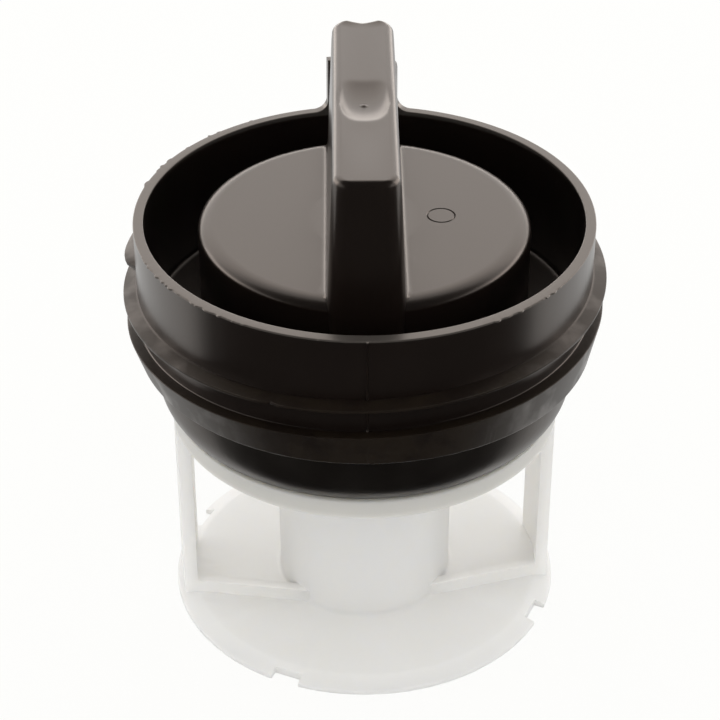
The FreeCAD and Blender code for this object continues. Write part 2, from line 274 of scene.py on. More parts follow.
def shape_collar(r, z, angle):
    """Moves a point of the cap's outline for the tongue, the flash, the band and the parting line."""
    on_wall = r > COLLAR_RADIUS - COLLAR_WALL - NEAR
    if r > COLLAR_RADIUS - NEAR and abs(z - BAND_TOP[1]) < EDGE_REACH:
        z += band_lift(angle)
    if on_wall and z > RIM - FLASH_REACH + NEAR:
        if r > COLLAR_RADIUS - FLASH_DEPTH:
            r += flash_lift(angle)
        z += tongue_lift(angle) - RIM_DIP * (1 - math.sin(angle)) / 2
    if abs(r - COLLAR_RADIUS) < EDGE_REACH and z > BAND_TOP[1]:
        for seam in (FRONT, BACK):
            near = abs(arc_gap(angle, seam)) * COLLAR_RADIUS / SEAM_HALF
            if near < 1:
                r += SEAM_RISE * (1 - near)
    return r, z


print("bumps of flash on the rim:", len(FLASH))

# %% [markdown]
# Those shifts need points to move. So the columns round the collar are even, with more of them at the
# tongue's edges, at the parting lines and along the flash. Columns that come too near another are left
# out, because very thin faces shade badly.

# %% Columns round the collar
EVEN_COLUMNS = 288
FLASH_COLUMNS_A_DEGREE = 3.2
LEAST_STEP = 0.0018
SEAM_STEPS = (-1.0, -0.5, 0.0, 0.5, 1.0)
TONGUE_STEPS = (-1.6, -1.3, -1.0, -0.7, -0.4, -0.2, -0.1, 0.0,
                0.02, 0.06, 0.15, 0.3, 0.5, 0.8, 1.1, 1.5, 1.9)


def collar_angles():
    """Even columns, with more beside the tongue's edges, the parting lines and the flash."""
    angles = set()
    for seam in (FRONT, BACK):
        for step in SEAM_STEPS:
            angles.add(seam + step * SEAM_HALF / COLLAR_RADIUS)
    for side in (-1, 1):
        for reach in TONGUE_STEPS:
            angles.add(BACK + side * (TONGUE_HALF + reach) / COLLAR_RADIUS)
    fill = even_angles(EVEN_COLUMNS)
    for first, last, _ in FLASH_SPANS:
        steps = int((last - first) * FLASH_COLUMNS_A_DEGREE)
        fill += [math.radians(first + (last - first) * i / steps) for i in range(steps)]
    kept = sorted(a % (2 * math.pi) for a in angles)
    for angle in sorted(fill):
        if all(abs(arc_gap(angle, other)) > LEAST_STEP for other in kept):
            kept.append(angle)
    return sorted(kept)


print("columns round the collar:", len(collar_angles()))

# %% [markdown]
# The cap's shell is one outline turned round the axis. It starts in the socket for the basket's stem,
# goes through the hollow under the island, down the neck, out to the band, up the collar to the rim, and
# back over the moat and the island.

# %% Turn the shell of the cap
RIM_INSIDE = COLLAR_RADIUS - COLLAR_WALL
NECK_INSIDE = NECK_RADIUS - NECK_WALL
BORE = STEM_RADIUS + RUN_GAP
GROOVE = BORE + BEAD_RISE
CEILING = ISLAND_TOP - SHELL_WALL
WALL_ROWS = (50.5, 56.0)
ISLAND_STEPS = 12
ISLAND_INNER_ROW = 8.0
cap_outline = rounded([
    (0, STEM_TIP + END_GAP, 0),
    (BORE, STEM_TIP + END_GAP, 0.3),
    (BORE, BEAD_TOP + END_GAP, 0),
    (GROOVE, BEAD_TOP + END_GAP, 0),
    (GROOVE, BEAD_FOOT - END_GAP, 0),
    (BORE, BEAD_FOOT - END_GAP, 0),
    (BORE, CAP_FOOT, 0.4),
    (BOSS_RADIUS, CAP_FOOT, 0.4),
    (BOSS_RADIUS, CEILING, 0.5),
    (NECK_INSIDE, CEILING, 0.5),
    (NECK_INSIDE, CAP_FOOT, 0.3),
    (NECK_RADIUS, CAP_FOOT, 0.4),
    (NECK_RADIUS, BAND_FOOT[1], 0.2),
    (BAND_FOOT[0], BAND_FOOT[1], 0.35),
    (BAND_TOP[0], BAND_TOP[1], 0.2),
    (COLLAR_RADIUS, BAND_TOP[1], 0.2),
    *((COLLAR_RADIUS, z, 0) for z in WALL_ROWS),
    (COLLAR_RADIUS, RIM - FLASH_REACH - FLASH_FADE, 0),
    (COLLAR_RADIUS, RIM - FLASH_REACH, 0),
    (COLLAR_RADIUS, RIM, 0.18),
    (RIM_INSIDE, RIM, 0.2),
    (RIM_INSIDE, RIM - FLASH_REACH, 0),
    (RIM_INSIDE, MOAT_FLOOR, 0.8),
    (ISLAND_RADIUS, MOAT_FLOOR, 0.8),
    *((ISLAND_RADIUS - ISLAND_ROUND * (1 - math.cos(math.pi / 2 * i / ISLAND_STEPS)),
       ISLAND_TOP - ISLAND_DROP * (1 - math.sin(math.pi / 2 * i / ISLAND_STEPS)), 0)
      for i in range(ISLAND_STEPS + 1)),
    (ISLAND_INNER_ROW, ISLAND_TOP, 0),
    (0, ISLAND_TOP, 0),
], steps=5)
cap = lathe("screw_cap_shell", cap_outline, collar_angles(), shape_collar)
print("points in the cap's outline:", len(cap_outline))

# %% [markdown]
# The grip is a drafted bar with a dished top, round ends and a thumb hollow. It is skinned from
# cross-sections along its length, because each of those features is then a small formula on the section.
# First come the formulas.

# %% Form of the grip
GRIP_HALF_LENGTH = 23.15
GRIP_TOP = 78.9
GRIP_TOP_HALF = 4.25
GRIP_ROOT_HALF = 5.0
GRIP_CORNER = 1.15
GRIP_DISH = 0.5
DISH_FADE = 16.0
GRIP_END_ROUND = 0.7
GRIP_SIDE_ROUND = 2.2
GRIP_FILLET = 0.9
THUMB = {"middle": -0.55, "half_length": 5.6, "half_width": 3.4, "depth": 0.7}
GATE = {"x": -0.1, "y": -0.8, "radius": 0.45, "rise": 0.2}
INNER_FOOT = ISLAND_TOP - 1.0
OUTER_FOOT = MOAT_FLOOR + 0.2
END_BLOCK = NECK_INSIDE + 0.5
FILLET_END = 20.9
FILLET_FADE = 1.5
HOLLOW_SOFTNESS = 0.01


def grip_half_width(z, y):
    """Half the bar's width at a height, with its draft and the fillet at its foot."""
    rise = (z - ISLAND_TOP) / (GRIP_TOP - ISLAND_TOP)
    half = GRIP_ROOT_HALF + (GRIP_TOP_HALF - GRIP_ROOT_HALF) * max(rise, 0.0)
    up = max(z - ISLAND_TOP, 0.0)
    if up < GRIP_FILLET:
        fade = min(max((FILLET_END - abs(y)) / FILLET_FADE, 0.0), 1.0)
        half += fade * round_fall(GRIP_FILLET - up, GRIP_FILLET)
    return half


def soft_step(share):
    """Rises softly from 0 to 1."""
    share = min(max(share, 0.0), 1.0)
    return share ** 2 * (3 - 2 * share)


def thumb_hollow(x, y):
    """Depth of the thumb hollow: a round scoop with a softened edge."""
    along = (y - THUMB["middle"]) / THUMB["half_length"]
    across = x / THUMB["half_width"]
    inside = 1 - along ** 2 - across ** 4
    return THUMB["depth"] * (inside + math.sqrt(inside ** 2 + HOLLOW_SOFTNESS)) / 2


def grip_crown(x, y):
    """Height of the bar's top, dished across, with the gate's mark."""
    inside = GRIP_TOP_HALF - GRIP_CORNER
    dish = GRIP_DISH * soft_step((y + GRIP_HALF_LENGTH) / DISH_FADE)
    z = GRIP_TOP - dish * (1 - min(abs(x) / inside, 1.0) ** 2)
    gate = math.hypot(x - GATE["x"], y - GATE["y"]) / GATE["radius"]
    if gate < 1:
        z += GATE["rise"] * (1 - gate ** 2)
    return z


print("the thumb hollow is", round(thumb_hollow(0, THUMB["middle"]), 2), "mm deep in the middle")

# %% [markdown]
# Now the sections themselves. Each one is a ring of points: up the right side from the foot, round the
# corner, across the top and down the left side. They stand close together where the form changes
# quickly, at the ends and at the gate's mark.

# %% Skin the grip
FILLET_ROWS = 6
SIDE_ROWS = 15
CORNER_STEPS = 8
CROWN_STEPS = 32
FOOT_OVERLAP = 0.05
END_STEPS = 14
SIDE_STEPS = 8
GATE_STEPS = 4
STATION_STEP = 0.38
STATION_COUNT = 114
STATION_START = -21.5
LEAST_STATION = 0.004


def grip_section(y):
    """Points round the bar at one place along its length."""
    foot = OUTER_FOOT if abs(y) > END_BLOCK else INNER_FOOT
    narrow = round_fall(abs(y) - GRIP_HALF_LENGTH + GRIP_SIDE_ROUND, GRIP_SIDE_ROUND)
    drop = round_fall(abs(y) - GRIP_HALF_LENGTH + GRIP_END_ROUND, GRIP_END_ROUND)
    shoulder = GRIP_TOP - GRIP_CORNER
    right = [(grip_half_width(foot, y), foot)]
    for i in range(FILLET_ROWS + 1):
        z = ISLAND_TOP - FOOT_OVERLAP + GRIP_FILLET * i / FILLET_ROWS
        right.append((grip_half_width(z, y), z))
    for i in range(1, SIDE_ROWS):
        z = ISLAND_TOP + GRIP_FILLET + (shoulder - ISLAND_TOP - GRIP_FILLET) * i / SIDE_ROWS
        right.append((grip_half_width(z, y), z))
    for i in range(CORNER_STEPS + 1):
        turn = math.pi / 2 * i / CORNER_STEPS
        x = GRIP_TOP_HALF - GRIP_CORNER + GRIP_CORNER * math.cos(turn)
        right.append((x, shoulder + GRIP_CORNER * math.sin(turn)))
    top = [(x, grip_crown(x, y)) for x in
           ((GRIP_TOP_HALF - GRIP_CORNER) * (1 - 2 * i / CROWN_STEPS) for i in range(1, CROWN_STEPS))]
    section = right + top + [(-x, z) for x, z in reversed(right)]
    bent = []
    knee = GRIP_TOP - 2 * GRIP_END_ROUND
    for x, z in section:
        if z > GRIP_TOP - GRIP_CORNER - GRIP_DISH:
            z -= thumb_hollow(x, y)
        if z > knee:
            z -= drop * (z - knee) / (GRIP_TOP - knee)
        bent.append((math.copysign(max(abs(x) - narrow, 0.0), x), z))
    return bent


def grip_stations():
    """Places along the bar: close together at the ends, where the foot steps down and at the gate."""
    places = {GRIP_HALF_LENGTH - GRIP_END_ROUND * (1 - math.sin(math.pi / 2 * i / END_STEPS))
              for i in range(END_STEPS + 1)}
    places |= {GRIP_HALF_LENGTH - GRIP_SIDE_ROUND * (1 - i / SIDE_STEPS) ** 2
               for i in range(SIDE_STEPS + 1)}
    places |= {-p for p in places}
    places |= {STATION_START + i * STATION_STEP for i in range(STATION_COUNT)}
    places |= {side * (END_BLOCK + step) for side in (-1, 1) for step in (-NEAR / 2, NEAR / 2)}
    places |= {GATE["y"] + GATE["radius"] * i / GATE_STEPS for i in range(-GATE_STEPS, GATE_STEPS + 1)}
    ordered = sorted(places)
    return [p for i, p in enumerate(ordered) if i == 0 or p - ordered[i - 1] > LEAST_STATION]


def skin(name, sections):
    """Joins a row of sections, each a ring of (x, y, z), into one closed mesh."""
    points = [p for section in sections for p in section]
    ring = len(sections[0])
    faces = []
    for s in range(len(sections) - 1):
        for k in range(ring):
            n = (k + 1) % ring
            faces.append((s * ring + k, s * ring + n, (s + 1) * ring + n, (s + 1) * ring + k))
    faces.append(tuple(range(ring)))
    faces.append(tuple(range((len(sections) - 1) * ring, len(sections) * ring)))
    return mesh_object(name, points, faces)


grip = skin("grip", [[(x, y, z) for x, z in grip_section(y)] for y in grip_stations()])
print("grip sections:", len(grip_stations()))

# %% [markdown]
# The coarse thread is a section swept up a helix. Its first half turn is the band's own rising edge, so
# the sweep starts where the thread leaves the band, on the right. From there it makes about one and a
# half turns, and sags a little before it ends on the left. Both ends run out over a few degrees.

# %% Sweep the thread
THREAD_RADIUS = 32.87
THREAD_TURNS = 2.012
THREAD_LEAVES = 0.47
THREAD_START = BAND_TOP[1] + 0.04
THREAD_FALL = 0.5
THREAD_SAG = 1.2
THREAD_CREST = 0.95
THREAD_SLOPE = 1.56
THREAD_ROUND = 0.12
ROOT_RISE = 0.15
SAG_FROM = 1.5
SAG_OVER = 0.45
RUN_IN_STEPS = 6
RUN_OUT_STEPS = 5
LEAST_GROW = 0.05
ROUND_SHARE = 0.3
THREAD_ROOT = COLLAR_RADIUS - 0.6
STEPS_A_TURN = 180
NICK = {"turn": 1.189, "depth": 0.4}


def thread_section(radius, grow, height, angle):
    """The thread's section at an angle; grow shrinks it at the run-outs."""
    crest = COLLAR_RADIUS + (radius - COLLAR_RADIUS) * grow
    round_off = THREAD_ROUND * grow
    edge = height - THREAD_FALL
    profile = [
        (THREAD_ROOT, height + ROOT_RISE),
        (crest - round_off, edge),
        (crest - round_off * ROUND_SHARE, edge - round_off * ROUND_SHARE),
        (crest, edge - round_off),
        (crest, height - THREAD_CREST + round_off),
        (crest - round_off * ROUND_SHARE, height - THREAD_CREST + round_off * ROUND_SHARE),
        (crest - round_off, height - THREAD_CREST),
        (THREAD_ROOT, height - THREAD_CREST - THREAD_SLOPE),
    ]
    return [(r * math.cos(angle), r * math.sin(angle), z) for r, z in profile]


def thread_sections():
    """Sections from where the thread leaves the band, on the right, up to its upper end."""
    sections = []
    first = int(STEPS_A_TURN * THREAD_LEAVES)
    count = int(STEPS_A_TURN * THREAD_TURNS)
    for i in range(first, count + 1):
        turn = i / STEPS_A_TURN
        radius = BAND_TOP[0] + (THREAD_RADIUS - BAND_TOP[0]) * min(turn, 1.0)
        low_end = min((i - first) / RUN_IN_STEPS, 1.0)
        high_end = min((count - i) / RUN_OUT_STEPS, 1.0)
        grow = LEAST_GROW + (1 - LEAST_GROW) * math.sqrt(1 - (1 - min(low_end, high_end)) ** 2)
        if abs(turn - NICK["turn"]) < 0.5 / STEPS_A_TURN:
            radius -= NICK["depth"]
        sag = THREAD_SAG * soft_step((turn - SAG_FROM) / SAG_OVER)
        height = THREAD_START + THREAD_PITCH * turn - sag
        sections.append(thread_section(radius, grow, height, math.pi + 2 * math.pi * turn))
    return sections


thread = skin("thread", thread_sections())
print("thread sections:", len(thread_sections()))

# %% [markdown]
# Collar, grip and thread are one moulding, so they are joined into one skin. A Boolean join is used
# because it leaves no hidden faces behind. A thin ring is then cut into the island: the print of an
# ejector pin. Weighted normals keep the long thin faces that a Boolean leaves from showing in the gloss.

# %% Join the cap and print the ejector mark
MARK = {"x": 10.3, "y": 0.3, "radius": 1.85, "half": 0.13}
MARK_COLUMNS = 64


def ring_tool(name, place, radius, half, height):
    """A thin ring with a diamond section, to cut a groove with."""
    section = [(radius - half, height), (radius, height - half),
               (radius + half, height), (radius, height + half)]
    tool = lathe(name, section, even_angles(MARK_COLUMNS))
    tool.data.transform(Matrix.Translation(Vector((place[0] * MM, place[1] * MM, 0))))
    return tool


cut_or_join(cap, [grip, thread], "UNION")
mark = ring_tool("ejector_mark", (MARK["x"], MARK["y"]), MARK["radius"], MARK["half"], ISLAND_TOP)
cut_or_join(cap, [mark], "DIFFERENCE")
smooth(cap)
even = cap.modifiers.new("even_normals", "WEIGHTED_NORMAL")
even.keep_sharp = True

# %% [markdown]
# The seal is rubber and fits the neck under the band. Its side is a fat curve, rounder below the bulge
# than above it, so the outline comes from one formula for each half. The lathe does the rest.

# %% Turn the seal
SEAL_SLACK = 0.05
SEAL_LIFT = 0.3
SEAL_ROWS = 22
SEAL_CREASE = 50
BULGE_POWER = 2.6
SEAL = {"bore": NECK_RADIUS + SEAL_SLACK, "foot": LID_TOP + SEAL_LIFT, "foot_radius": 26.9, "radius": 28.9,
        "bulge": 38.4, "shoulder": 28.3, "top": BAND_FOOT[1]}


def seal_side(z):
    """The seal's outer radius at a height: a round below the bulge, a softer round above it."""
    if z < SEAL["bulge"]:
        share = (SEAL["bulge"] - z) / (SEAL["bulge"] - SEAL["foot"])
        return SEAL["radius"] - (SEAL["radius"] - SEAL["foot_radius"]) * share ** BULGE_POWER
    share = (z - SEAL["bulge"]) / (SEAL["top"] - SEAL["bulge"])
    return SEAL["radius"] - (SEAL["radius"] - SEAL["shoulder"]) * share ** 2


def seal_outline():
    """The seal's section: flat inside, top and foot, with a bulged outer side."""
    heights = [SEAL["foot"] + (SEAL["top"] - SEAL["foot"]) * i / SEAL_ROWS for i in range(SEAL_ROWS + 1)]
    side = [(seal_side(z), z) for z in heights]
    return side + [(SEAL["bore"], SEAL["top"]), (SEAL["bore"], SEAL["foot"])]


seal = smooth(lathe("seal_ring_rubber", seal_outline(), even_angles(FINE_COLUMNS)), SEAL_CREASE)

# %% [markdown]
# The basket is one moulding too: a lid, a hollow column and a notched base, held together by two posts.
# Its round parts come first, from one outline that runs from the column's inside round the base, the
# column and the lid to the stem with its snap bead.

# %% Turn the basket
LID = {"radius": 27.2, "thickness": 3.3, "chamfer": 0.7}
BASE = {"radius": 27.9, "height": 1.5, "edge": 0.7, "slope": 2.6}
COLUMN = {"radius": 12.5, "wall": 1.8}
POST = {"angle": 10.6, "reach": 25.6, "width": 1.8, "wall": 1.5, "inset": 0.1}
WEB = {"thickness": 1.6, "height": 2.0, "angle": 46.0}
NOTCH = {"width": 4.2, "depth": 1.6, "angle": 61.8, "count": 4}
BASKET_TURN = math.radians(3.7)
LID_FOOT = LID_TOP - LID["thickness"]

basket_outline = rounded([
    (0, LID_FOOT, 0),
    (COLUMN["radius"] - COLUMN["wall"], LID_FOOT, 0.6),
    (COLUMN["radius"] - COLUMN["wall"], 0, 0.3),
    (BASE["radius"], 0, 0.25),
    (BASE["radius"], BASE["edge"], 0.25),
    (BASE["radius"] - BASE["slope"], BASE["height"], 0.35),
    (COLUMN["radius"], BASE["height"], 0.8),
    (COLUMN["radius"], LID_FOOT, 0.8),
    (LID["radius"] - LID["chamfer"], LID_FOOT, 0.3),
    (LID["radius"], LID_FOOT + LID["chamfer"], 0.3),
    (LID["radius"], LID_TOP, 0.35),
    (STEM_RADIUS, LID_TOP, 0.3),
    (STEM_RADIUS, BEAD_FOOT, 0),
    (STEM_RADIUS + BEAD_RISE, BEAD_FOOT + BEAD_RISE, 0.15),
    (STEM_RADIUS + BEAD_RISE, BEAD_TOP - BEAD_RISE, 0.15),
    (STEM_RADIUS, BEAD_TOP, 0),
    (STEM_RADIUS, STEM_TIP, 0.5),
    (0, STEM_TIP, 0),
], steps=5)
basket = lathe("filter_basket_body", basket_outline, even_angles(FINE_COLUMNS))
print("points in the basket's outline:", len(basket_outline))

# %% [markdown]
# The posts and the low webs are upright blocks skinned from flat outlines, one pair for each side. The
# notches are blocks as well, but they are cut away. The whole basket is then turned a little, as it
# stands in the photograph.

# %% Add the posts and webs and cut the notches
ARC_STEPS = 12
WEB_OVERLAP = 0.3
TOP_SLACK = 0.02
FOOT_SLACK = 0.01
NOTCH_PAST = 2.0
NOTCH_CLEAR = 1.0


def prism(name, outline, low, high):
    """A closed upright block from a flat outline of (x, y)."""
    return skin(name, [[(x, y, low) for x, y in outline], [(x, y, high) for x, y in outline]])


def post_and_web(side):
    """The post and the low web on one side, 1 for right and -1 for left."""
    outside = LID["radius"] - POST["inset"]
    inside = outside - POST["wall"]
    start = -math.radians(POST["angle"])
    end = math.radians(POST["reach"] - POST["angle"])
    corner = (outside * math.cos(start), outside * math.sin(start))
    mid_wall = COLUMN["radius"] - COLUMN["wall"] / 2
    web_start = (mid_wall * math.cos(math.radians(WEB["angle"])),
                 -mid_wall * math.sin(math.radians(WEB["angle"])) - WEB["thickness"] / 2)
    slope = (corner[1] - web_start[1]) / (corner[0] - web_start[0])
    edge = (corner[0] - POST["width"], corner[1] - POST["width"] * slope)
    arc = [start + (end - start) * i / ARC_STEPS for i in range(ARC_STEPS + 1)]
    meet = start + math.asin(WEB["thickness"] / inside)
    back = [meet + (end - meet) * i / ARC_STEPS for i in range(ARC_STEPS + 1)]
    outline = [edge]
    outline += [(outside * math.cos(a), outside * math.sin(a)) for a in arc]
    outline += [(inside * math.cos(a), inside * math.sin(a)) for a in reversed(back)]
    outline.append((edge[0], edge[1] + WEB["thickness"]))
    web_end = (edge[0] + WEB_OVERLAP, edge[1] + WEB_OVERLAP * slope)
    web = [web_start, web_end, (web_end[0], web_end[1] + WEB["thickness"] - TOP_SLACK),
           (web_start[0], web_start[1] + WEB["thickness"])]
    root = BASE["edge"] / 2
    name = "right" if side > 0 else "left"
    post_top = LID_FOOT + LID["thickness"] / 2
    web_top = BASE["height"] + WEB["height"]
    post = prism(f"{name}_post", [(side * x, y) for x, y in outline], root, post_top)
    low_web = prism(f"{name}_web", [(side * x, y) for x, y in web], root + FOOT_SLACK, web_top)
    return [post, low_web]


def notch_tools():
    """Blocks that cut the keyway notches out of the base."""
    tools = []
    for i in range(NOTCH["count"]):
        turn = math.radians(NOTCH["angle"]) + 2 * math.pi * i / NOTCH["count"]
        inside = BASE["radius"] - NOTCH["depth"]
        outside = BASE["radius"] + NOTCH_PAST
        half = NOTCH["width"] / 2
        corners = [(inside, -half), (outside, -half), (outside, half), (inside, half)]
        spun = [(x * math.cos(turn) - y * math.sin(turn), x * math.sin(turn) + y * math.cos(turn))
                for x, y in corners]
        tools.append(prism(f"notch_{i}", spun, -NOTCH_CLEAR, BASE["height"] + NOTCH_CLEAR))
    return tools


cut_or_join(basket, post_and_web(1) + post_and_web(-1), "UNION")
cut_or_join(basket, notch_tools(), "DIFFERENCE")
basket.data.transform(Matrix.Rotation(BASKET_TURN, 4, "Z"))
smooth(basket)

# %% [markdown]
# Each fine mesh stands for one solid and rides on the body that carries it, so the cap turns with its
# seal and the basket stays.

# %% Put the pieces on their bodies
for piece, node, body, slot in ((cap, "screw_cap", "cap", "black_plastic"),
                                (seal, "seal_ring", "cap", "black_rubber"),
                                (basket, "filter_basket", "basket", "milky_plastic")):
    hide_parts(node)
    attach(piece, body)
    print(piece.name, "stands for", node, "on", body)

# %% [markdown]
# The finishes are built from a few kinds of node that come back again and again: noise, a blend, a bump.
# So each gets a helper. Another measures a point's distance from the axis and its height, which lets one
# material change from place to place on the part.

# %% Helpers for the finishes


def new_material(name):
    """A node material with its shader, ready for sockets to be set."""
    material = bpy.data.materials.new(name)
    material.use_nodes = True
    shader = material.node_tree.nodes["Principled BSDF"]
    return material, material.node_tree, shader


def noise(tree, scale, stretch, detail=4.0):
    """Noise in object space, stretched by three factors."""
    place = tree.nodes.new("ShaderNodeTexCoord")
    mapping = tree.nodes.new("ShaderNodeMapping")
    mapping.inputs["Scale"].default_value = stretch
    texture = tree.nodes.new("ShaderNodeTexNoise")
    texture.inputs["Scale"].default_value = scale
    texture.inputs["Detail"].default_value = detail
    tree.links.new(place.outputs["Object"], mapping.inputs["Vector"])
    tree.links.new(mapping.outputs["Vector"], texture.inputs["Vector"])
    return texture.outputs["Fac"]


def ramp(tree, value, low, high, spots=(0.3, 0.7)):
    """Turns a 0 to 1 value into a blend of two colours."""
    node = tree.nodes.new("ShaderNodeValToRGB")
    node.color_ramp.elements[0].position = spots[0]
    node.color_ramp.elements[0].color = low
    node.color_ramp.elements[1].position = spots[1]
    node.color_ramp.elements[1].color = high
    tree.links.new(value, node.inputs["Fac"])
    return node.outputs["Color"]


def bump(tree, height, strength, distance):
    """A bump from a height value."""
    node = tree.nodes.new("ShaderNodeBump")
    node.inputs["Strength"].default_value = strength
    node.inputs["Distance"].default_value = distance
    tree.links.new(height, node.inputs["Height"])
    return node.outputs["Normal"]


def around_axis(tree):
    """Distance from the part's axis, and height, in metres."""
    place = tree.nodes.new("ShaderNodeTexCoord")
    flat = tree.nodes.new("ShaderNodeVectorMath")
    flat.operation = "MULTIPLY"
    flat.inputs[1].default_value = (1, 1, 0)
    length = tree.nodes.new("ShaderNodeVectorMath")
    length.operation = "LENGTH"
    apart = tree.nodes.new("ShaderNodeSeparateXYZ")
    tree.links.new(place.outputs["Object"], flat.inputs[0])
    tree.links.new(flat.outputs["Vector"], length.inputs[0])
    tree.links.new(place.outputs["Object"], apart.inputs[0])
    return length.outputs["Value"], apart.outputs["Z"]


def between(tree, value, start, end):
    """0 at the start, 1 at the end, and a straight rise or fall between."""
    node = tree.nodes.new("ShaderNodeMapRange")
    node.inputs["From Min"].default_value = start
    node.inputs["From Max"].default_value = end
    tree.links.new(value, node.inputs["Value"])
    return node.outputs["Result"]


def between_mm(tree, value, start, end):
    """The same for a length, with its start and end in millimetres."""
    return between(tree, value, start * MM, end * MM)


def product(tree, first, second):
    """One value times another."""
    node = tree.nodes.new("ShaderNodeMath")
    node.operation = "MULTIPLY"
    tree.links.new(first, node.inputs[0])
    tree.links.new(second, node.inputs[1])
    return node.outputs[0]


def blend(tree, share, first, second):
    """A value that goes from a first to a second; the first may be a number or a socket."""
    node = tree.nodes.new("ShaderNodeMix")
    tree.links.new(share, node.inputs[0])
    if isinstance(first, float):
        node.inputs[2].default_value = first
    else:
        tree.links.new(first, node.inputs[2])
    node.inputs[3].default_value = second
    return node.outputs[0]


def blend_colour(tree, share, first, second):
    """A colour that goes from a socket's colour to another."""
    node = tree.nodes.new("ShaderNodeMix")
    node.data_type = "RGBA"
    tree.links.new(share, node.inputs[0])
    tree.links.new(first, node.inputs[6])
    node.inputs[7].default_value = second
    return node.outputs[2]


def grey(level):
    """An opaque grey."""
    return (level, level, level, 1.0)


print("a mid grey for the sockets:", grey(0.5))

# %% [markdown]
# Black moulded plastic is nearly black, and what the eye sees is its gloss. So most of the finish is in
# gloss and roughness: fine draw marks, a little haze and a faint orange-peel bump. Grime dulls the
# thread and the band in patches, and the moat is slightly duller. The rim's top is painted paler, as a
# painted highlight for the thin bright line of gloss along it. The seal's rubber has a softer gloss.

# %% Black plastic and black rubber
WARM_GLOSS = (1.0, 0.88, 0.80, 1.0)
GRIME_TOP = 58.0


def black_plastic():
    """Satin black moulded plastic with draw marks, grime and a painted highlight on the rim."""
    material, tree, shader = new_material("black_plastic")
    shader.inputs["IOR"].default_value = 1.5
    shader.inputs["Specular Tint"].default_value = WARM_GLOSS
    radius, height = around_axis(tree)
    outside = product(tree, between_mm(tree, radius, COLLAR_RADIUS + 0.1, COLLAR_RADIUS + 0.3),
                      between_mm(tree, height, GRIME_TOP, GRIME_TOP - 0.5))
    moat = product(tree, between_mm(tree, radius, ISLAND_RADIUS - 0.1, ISLAND_RADIUS + 0.2),
                   between_mm(tree, radius, RIM_INSIDE + 0.1, RIM_INSIDE - 0.3))
    moat = product(tree, moat, between_mm(tree, height, ISLAND_TOP - 1.1, ISLAND_TOP - 1.9))
    # Painted highlight: this mask picks out the rim's top, whose colour is made paler to stand for the
    # bright line of gloss along it.
    rim = product(tree, between_mm(tree, radius, RIM_INSIDE - 0.4, RIM_INSIDE - 0.1),
                  between_mm(tree, height, RIM - 0.7, RIM - 0.5))
    patches = noise(tree, 260.0, (1, 1, 0.7), 5.0)
    grime = product(tree, outside, between(tree, patches, 0.3, 0.55))
    haze = noise(tree, 60.0, (1, 1, 1), 6.0)
    colour = ramp(tree, haze, (0.0062, 0.0038, 0.0030, 1), (0.0088, 0.0056, 0.0044, 1))
    colour = blend_colour(tree, grime, colour, (0.013, 0.0085, 0.005, 1))
    # Painted highlight: the rim's top is made paler in colour.
    colour = blend_colour(tree, rim, colour, (0.045, 0.040, 0.036, 1))
    tree.links.new(colour, shader.inputs["Base Color"])
    gloss = blend(tree, grime, 0.9, 0.45)
    gloss = blend(tree, moat, gloss, 0.8)
    tree.links.new(gloss, shader.inputs["Specular IOR Level"])
    streaks = noise(tree, 1500.0, (1, 1, 0.04), 3.0)
    rough = ramp(tree, streaks, grey(0.275), grey(0.295))
    rough = blend(tree, grime, rough, 0.42)
    tree.links.new(rough, shader.inputs["Roughness"])
    peel = noise(tree, 500.0, (1, 1, 0.6), 2.0)
    tree.links.new(bump(tree, peel, 0.015, 0.0001), shader.inputs["Normal"])
    return material


def black_rubber():
    """Smooth black rubber."""
    material, tree, shader = new_material("black_rubber")
    shader.inputs["IOR"].default_value = 1.5
    shader.inputs["Specular IOR Level"].default_value = 0.9
    shader.inputs["Specular Tint"].default_value = WARM_GLOSS
    dust = noise(tree, 220.0, (1, 1, 1), 6.0)
    colour = ramp(tree, dust, (0.004, 0.003, 0.0025, 1), (0.007, 0.006, 0.005, 1))
    tree.links.new(colour, shader.inputs["Base Color"])
    tree.links.new(ramp(tree, dust, grey(0.30), grey(0.38)), shader.inputs["Roughness"])
    grain = noise(tree, 1600.0, (1, 1, 1), 2.0)
    tree.links.new(bump(tree, grain, 0.05, 0.0002), shader.inputs["Normal"])
    return material


finishes = [(cap, black_plastic()), (seal, black_rubber())]
print("black finishes:", ", ".join(finish.name for piece, finish in finishes))

# %% [markdown]
# The basket's natural plastic lets light in and scatters it inside its walls, so it needs subsurface
# light and a little transmission. Near the lid, under the black seal, the colour is painted greyer as
# painted shade.

# %% Milky plastic, and all finishes put on


def milky_plastic():
    """Natural translucent plastic that scatters light inside its walls."""
    material, tree, shader = new_material("milky_plastic")
    shader.inputs["IOR"].default_value = 1.5
    shader.inputs["Transmission Weight"].default_value = 0.25
    shader.inputs["Subsurface Weight"].default_value = 0.75
    shader.inputs["Subsurface Radius"].default_value = (1.0, 0.95, 0.85)
    shader.inputs["Subsurface Scale"].default_value = 0.003
    cloud = noise(tree, 90.0, (1, 1, 1), 4.0)
    colour = ramp(tree, cloud, (0.955, 0.935, 0.895, 1), (0.978, 0.96, 0.925, 1))
    height = around_axis(tree)[1]
    # Painted shade: the lid and the stem above it are painted greyer to stand for the shade under the
    # black seal.
    painted_seal_shade = between_mm(tree, height, LID_FOOT - 1.1, LID_FOOT + 1.4)
    colour = blend_colour(tree, painted_seal_shade, colour, (0.68, 0.67, 0.64, 1))
    tree.links.new(colour, shader.inputs["Base Color"])
    tree.links.new(ramp(tree, cloud, grey(0.34), grey(0.46)), shader.inputs["Roughness"])
    grain = noise(tree, 700.0, (1, 1, 1), 3.0)
    tree.links.new(bump(tree, grain, 0.05, 0.0002), shader.inputs["Normal"])
    return material


